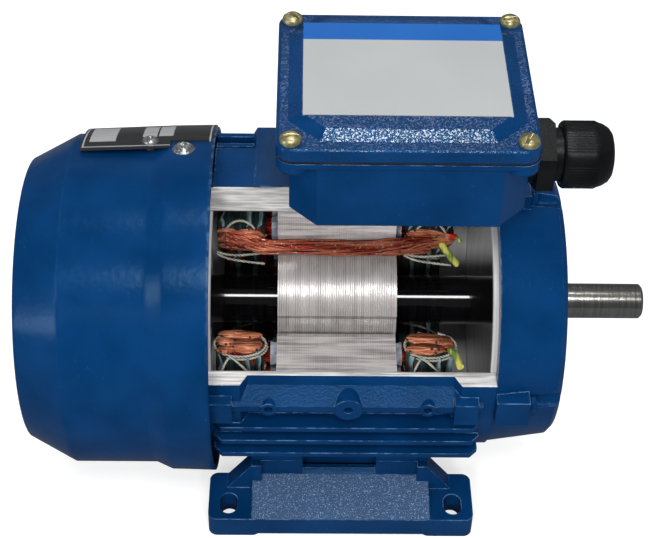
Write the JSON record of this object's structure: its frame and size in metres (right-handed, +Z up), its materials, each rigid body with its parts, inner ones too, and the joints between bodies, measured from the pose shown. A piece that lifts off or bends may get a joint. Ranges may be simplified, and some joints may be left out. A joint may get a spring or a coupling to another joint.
{
  "type": "demonstration electric motor",
  "caption": "Cutaway three-phase reluctance motor for teaching, foot mounted, with a quarter of the housing cut away, terminal box, cable gland and fan cowl.",
  "frame": {"origin": "middle of the two drive-end foot holes, on the plane the feet stand on", "axes": "+Z up, +X along the shaft towards its extension, +Y away from the cutaway"},
  "size_m": [0.2434, 0.138, 0.1834],
  "materials": {
    "blue_casting": "gloss enamel on cast aluminium, bare metal where sectioned",
    "blue_sheet": "gloss enamel on pressed steel sheet",
    "lamination_steel": "stacked sheet edges, satin",
    "shaft_steel": "ground and polished",
    "bearing_steel": "polished",
    "spring_steel": "satin",
    "zinc_steel": "bright zinc plate",
    "yellow_zinc": "yellow zinc plate",
    "copper": "enamelled copper wire, varnished",
    "slot_paper": "satin film",
    "lacing_cord": "braided cord",
    "black_lead": "satin",
    "earth_lead": "green and yellow sleeve, satin",
    "seal_rubber": "matte",
    "gasket_rubber": "matte",
    "fan_plastic": "moulded",
    "gland_plastic": "moulded, fine grain",
    "board_plastic": "moulded phenolic",
    "brass": "bright",
    "plate_dark": "printed sheet, satin",
    "label_face": "printed film under gloss"
  },
  "bodies": {
    "motor": {"board_screws": "zinc_steel", "box_gasket": "gasket_rubber", "box_screws": "zinc_steel", "cowl_screws": "zinc_steel", "drive_bearing_outer_ring": "bearing_steel", "drive_bearing_shields": "bearing_steel", "drive_end_winding": "copper", "drive_endshield": "blue_casting", "drive_endshield_bolts": "zinc_steel", "drive_lacing": "lacing_cord", "earth_leads": "earth_lead", "earth_screw": "brass", "exposed_coil": "copper", "fan_cowl": "blue_sheet", "foot_screws": "zinc_steel", "gland_body": "gland_plastic", "gland_locknut": "gland_plastic", "gland_seal": "seal_rubber", "lead_lugs": "brass", "left_foot": "blue_casting", "lid_gasket": "gasket_rubber", "motor_frame": "blue_casting", "motor_leads": "black_lead", "nameplate": "plate_dark", "nameplate_rivet": "zinc_steel", "rear_bearing_outer_ring": "bearing_steel", "rear_bearing_shields": "bearing_steel", "rear_end_winding": "copper", "rear_endshield": "blue_casting", "rear_endshield_bolts": "zinc_steel", "rear_lacing": "lacing_cord", "right_foot": "blue_casting", "shaft_seal": "seal_rubber", "slot_coils": "copper", "slot_liners": "slot_paper", "slot_wedges": "slot_paper", "stator_core": "lamination_steel", "terminal_board": "board_plastic", "terminal_box": "blue_casting", "terminal_links": "brass", "terminal_nuts": "brass", "terminal_studs": "brass", "wave_spring": "spring_steel"},
    "rotor": {"shaft": "shaft_steel", "rotor_core": "lamination_steel", "drive_bearing_inner_ring": "bearing_steel", "rear_bearing_inner_ring": "bearing_steel", "fan": "fan_plastic", "fan_circlip": "spring_steel"},
    "drive_ball_set": {"drive_bearing_balls": "bearing_steel", "drive_bearing_cage": "spring_steel"},
    "rear_ball_set": {"rear_bearing_balls": "bearing_steel", "rear_bearing_cage": "spring_steel"},
    "gland_nut": {"gland_cap": "gland_plastic"},
    "lid": {"box_lid": "blue_casting", "lid_screws": "yellow_zinc", "lid_label": "label_face"}
  },
  "joints": [
    {"name": "rotor_spin", "type": "hinge", "parent": "motor", "child": "rotor", "pos_m": [0, 0, 0.071], "axis": [1, 0, 0], "continuous": true},
    {"name": "drive_ball_spin", "type": "hinge", "parent": "motor", "child": "drive_ball_set", "pos_m": [0.0295, 0, 0.071], "axis": [1, 0, 0], "continuous": true},
    {"name": "rear_ball_spin", "type": "hinge", "parent": "motor", "child": "rear_ball_set", "pos_m": [-0.1055, 0, 0.071], "axis": [1, 0, 0], "continuous": true},
    {"name": "gland_nut_turn", "type": "hinge", "parent": "motor", "child": "gland_nut", "pos_m": [0.0388, -0.0164, 0.1605], "axis": [1, 0, 0], "continuous": true},
    {"name": "lid_lift", "type": "slide", "parent": "motor", "child": "lid", "axis": [0, 0, 1], "range_m": [0, 0.04]}
  ],
  "couplings": [
    {"joint": "drive_ball_spin", "follows": "rotor_spin", "ratio": 0.382},
    {"joint": "rear_ball_spin", "follows": "rotor_spin", "ratio": 0.382}
  ]
}
